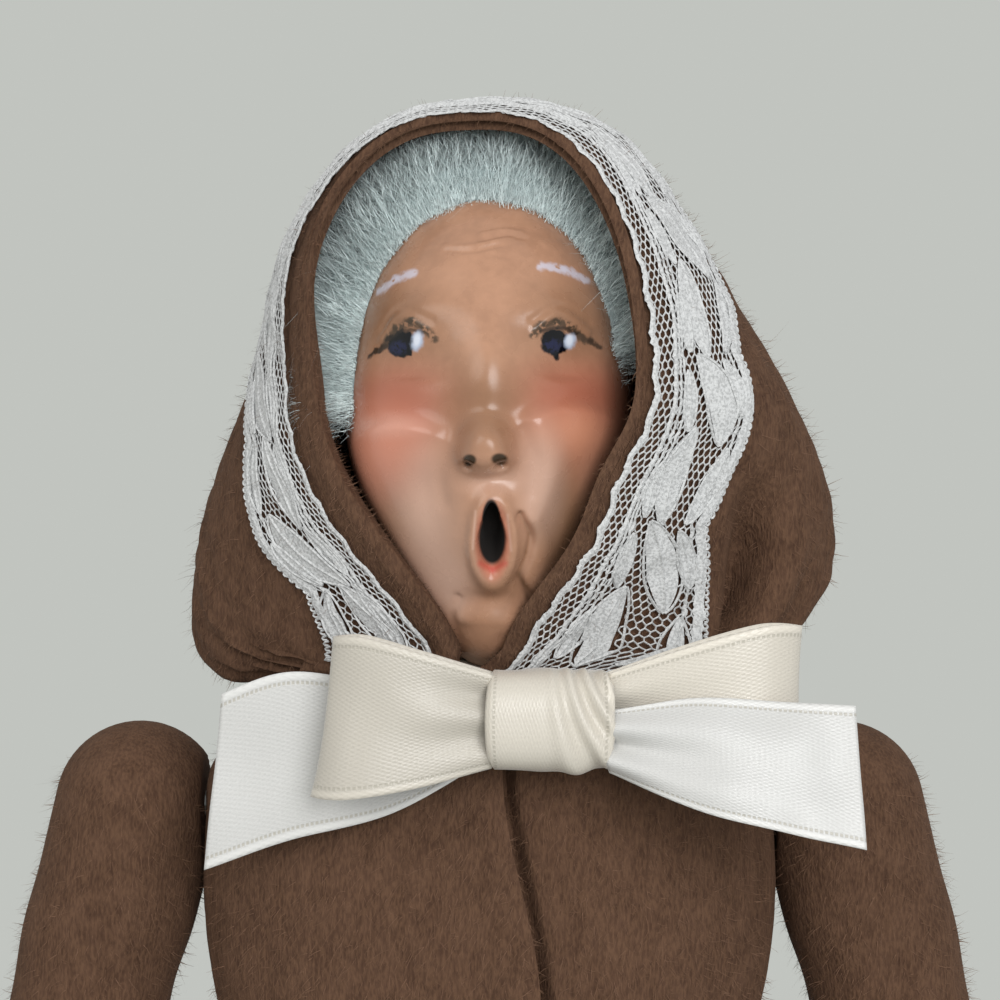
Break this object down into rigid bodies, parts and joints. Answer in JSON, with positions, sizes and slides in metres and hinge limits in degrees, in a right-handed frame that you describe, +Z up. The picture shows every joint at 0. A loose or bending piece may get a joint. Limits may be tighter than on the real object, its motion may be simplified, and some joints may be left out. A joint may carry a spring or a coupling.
{
  "type": "caroler figurine",
  "caption": "Standing caroling figurine with a moulded singing face, brown felt hood and coat, lace trim, satin bow, padded arms that swing and bend on wire, and an oval base",
  "frame": {"origin": "middle of the base's underside", "axes": "+Z up, the face looks along -Y, the figure's left is +X"},
  "size_m": [0.1372, 0.0882, 0.3336],
  "materials": {
    "felt": "brushed brown felt",
    "face": "painted, satin",
    "hair": "fuzzy pale blue-grey fibre",
    "lace": "white net lace",
    "ribbon": "ivory satin",
    "wire": "plain drawn wire",
    "stuffing": "matte wrapped padding",
    "boot": "painted black, satin",
    "base_wood": "stained, satin",
    "base_pad": "green felt",
    "skirt": "plain dark green wool",
    "mitten": "off-white wool felt"
  },
  "bodies": {
    "figure": {"base_felt": "base_pad", "base_board": "base_wood", "left_boot": "boot", "right_boot": "boot", "left_leg_wrap": "stuffing", "right_leg_wrap": "stuffing", "left_leg_wire": "wire", "right_leg_wire": "wire", "body_padding": "stuffing", "spine_wire": "wire", "shoulder_wire": "wire", "neck_wrap": "stuffing", "ribbon_neck_band": "ribbon", "bow_knot": "ribbon", "bow_left_loop": "ribbon", "bow_right_loop": "ribbon", "bow_left_tail": "ribbon", "bow_right_tail": "ribbon", "coat_left_front": "felt", "coat_right_front": "felt", "coat_back": "felt", "skirt_gore_1": "skirt", "skirt_gore_2": "skirt", "skirt_gore_3": "skirt", "skirt_gore_4": "skirt", "skirt_gore_5": "skirt", "skirt_gore_6": "skirt"},
    "head": {"head": "face", "wig": "hair", "hood": "felt", "lace_trim": "lace"},
    "left_upper_arm": {"left_upper_sleeve": "felt", "left_upper_arm_padding": "stuffing", "left_upper_arm_wire": "wire"},
    "left_forearm": {"left_lower_sleeve": "felt", "left_forearm_padding": "stuffing", "left_forearm_wire": "wire", "left_mitten": "mitten"},
    "right_upper_arm": {"right_upper_sleeve": "felt", "right_upper_arm_padding": "stuffing", "right_upper_arm_wire": "wire"},
    "right_forearm": {"right_lower_sleeve": "felt", "right_forearm_padding": "stuffing", "right_forearm_wire": "wire", "right_mitten": "mitten"}
  },
  "joints": [
    {"name": "head_turn", "type": "hinge", "parent": "figure", "child": "head", "pos_m": [0, -0.0034, 0.27], "axis": [0, 0, 1], "range_deg": [-15, 15]},
    {"name": "left_shoulder_swing", "type": "hinge", "parent": "figure", "child": "left_upper_arm", "pos_m": [0.04058, 0, 0.252], "axis": [-1, 0, 0], "range_deg": [-30, 50]},
    {"name": "right_shoulder_swing", "type": "hinge", "parent": "figure", "child": "right_upper_arm", "pos_m": [-0.04058, 0, 0.252], "axis": [-1, 0, 0], "range_deg": [-30, 50]},
    {"name": "left_elbow_bend", "type": "hinge", "parent": "left_upper_arm", "child": "left_forearm", "pos_m": [0.05147, 0, 0.20834], "axis": [-0.9703, 0, -0.2419], "range_deg": [-35, 55]},
    {"name": "right_elbow_bend", "type": "hinge", "parent": "right_upper_arm", "child": "right_forearm", "pos_m": [-0.05147, 0, 0.20834], "axis": [-0.9703, 0, 0.2419], "range_deg": [-35, 55]}
  ]
}
